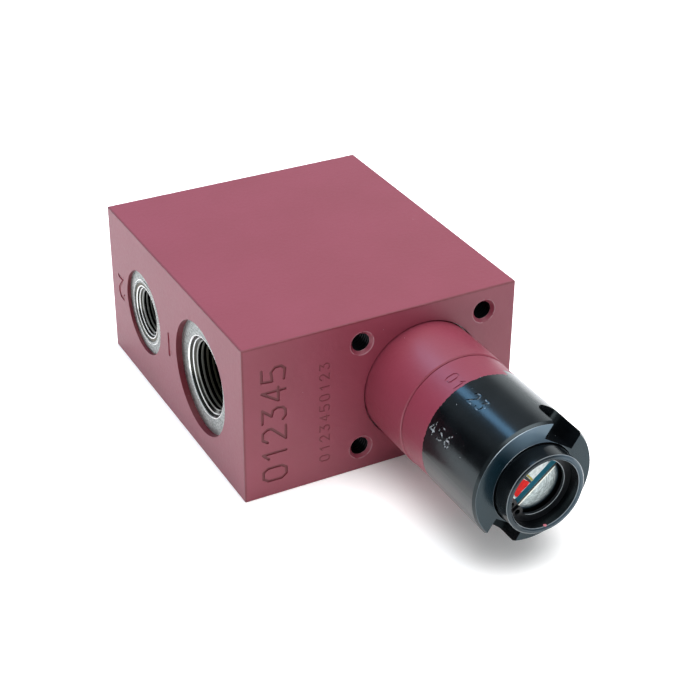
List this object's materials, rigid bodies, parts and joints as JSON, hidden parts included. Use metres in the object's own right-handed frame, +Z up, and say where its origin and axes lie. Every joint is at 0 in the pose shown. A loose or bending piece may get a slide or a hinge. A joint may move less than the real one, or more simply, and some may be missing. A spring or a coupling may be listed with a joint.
{
  "type": "flow control valve",
  "caption": "Hydraulic flow control valve: a ported steel manifold block with a screw-adjusted, pressure-compensated regulator cartridge standing out of one face.",
  "frame": {"origin": "middle of the block's underside", "axes": "+X to the block's right as seen from the cartridge face, +Y from the cartridge face to the back, +Z up; the cartridge axis is parallel to Y"},
  "size_m": [0.105, 0.1973, 0.06],
  "materials": {
    "red_paint": "satin maroon paint over steel, bare inside ports and holes",
    "black_oxide": "black oxide, faint turning marks",
    "bare_steel": "turned and ground steel",
    "spring_steel": "dark phosphated spring steel",
    "seal_rubber": "nitrile rubber",
    "seal_plastic": "white PTFE"
  },
  "bodies": {
    "housing": {"valve_block": "red_paint", "cartridge_body": "red_paint", "adjuster_sleeve": "black_oxide", "guide_bush": "black_oxide", "screw_retaining_ring": "spring_steel", "bush_o_ring": "seal_rubber", "body_o_ring": "seal_rubber", "body_backup_ring": "seal_plastic", "anti_rotation_pin": "bare_steel", "metering_cage": "bare_steel", "cage_o_ring_tank": "seal_rubber", "cage_o_ring_inlet": "seal_rubber", "cage_backup_ring_tank": "seal_plastic", "cage_backup_ring_inlet": "seal_plastic", "spool_stop_ring": "spring_steel", "compensator_spring": "spring_steel", "spring_seat": "bare_steel", "adjusting_shim": "bare_steel"},
    "throttle": {"throttle_stem": "bare_steel", "coupling_ring": "spring_steel", "throttle_head": "bare_steel", "head_lock_nut": "bare_steel"},
    "screw": {"adjusting_screw": "bare_steel", "screw_o_ring": "seal_rubber", "screw_backup_ring": "seal_plastic"},
    "compensator": {"compensator_spool": "bare_steel"}
  },
  "joints": [
    {"name": "plunger_slide", "type": "slide", "parent": "housing", "child": "throttle", "axis": [0, -1, 0], "range_m": [-0.00487, 0.00112]},
    {"name": "screw_turn", "type": "hinge", "parent": "throttle", "child": "screw", "pos_m": [0.016, -0.1298, 0.03], "axis": [0, -1, 0], "range_deg": [-1170, 270]},
    {"name": "compensator_slide", "type": "slide", "parent": "housing", "child": "compensator", "axis": [0, -1, 0], "range_m": [0, 0.005], "stiffness_N_per_m": 3700, "springref_m": -0.004, "deforming": ["compensator_spring"]}
  ],
  "couplings": [
    {"joint": "screw_turn", "follows": "plunger_slide", "rad_per_m": 4188.8}
  ]
}
